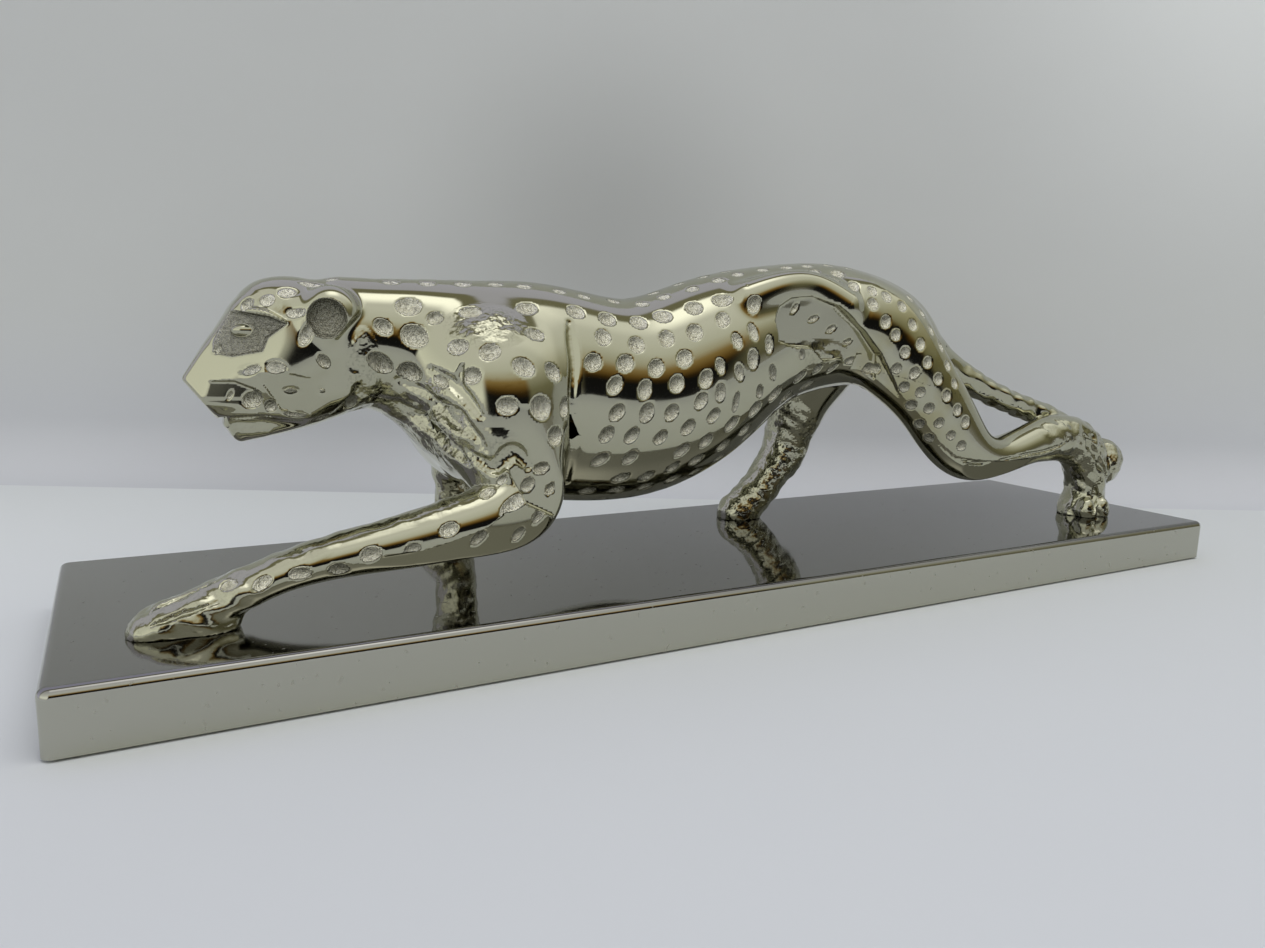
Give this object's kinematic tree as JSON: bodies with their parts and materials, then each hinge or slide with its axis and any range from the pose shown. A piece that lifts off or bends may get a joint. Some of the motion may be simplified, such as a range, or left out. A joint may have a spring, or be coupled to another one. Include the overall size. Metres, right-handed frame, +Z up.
{
  "type": "animal figurine on a plinth",
  "caption": "Prowling spotted big cat in polished cast metal with hammered dimples, welded from castings and screwed to a long low mirror-polished sheet plinth. Free-standing display piece.",
  "frame": {"origin": "centre of the plinth's underside, where the felt rests on the table", "axes": "+Z up, +X along the plinth from the cat's head to its tail, -Y towards the cat's left side"},
  "size_m": [0.381, 0.1016, 0.1057],
  "materials": {
    "casting": "cast, nickel plated and mirror polished, with frosted dimples and hollows",
    "plinth_sheet": "mirror polished sheet with rounded edges and faint wipe marks",
    "board": "raw fibreboard",
    "felt": "black felt",
    "fastener": "zinc plated"
  },
  "bodies": {
    "root": {"trunk_casting": "casting", "head_casting": "casting", "left_foreleg": "casting", "right_foreleg": "casting", "left_hind_leg": "casting", "right_hind_leg": "casting", "tail_casting": "casting", "base_shell": "plinth_sheet", "base_core": "board", "base_felt": "felt", "paw_screws": "fastener", "paw_washers": "fastener"}
  },
  "joints": []
}
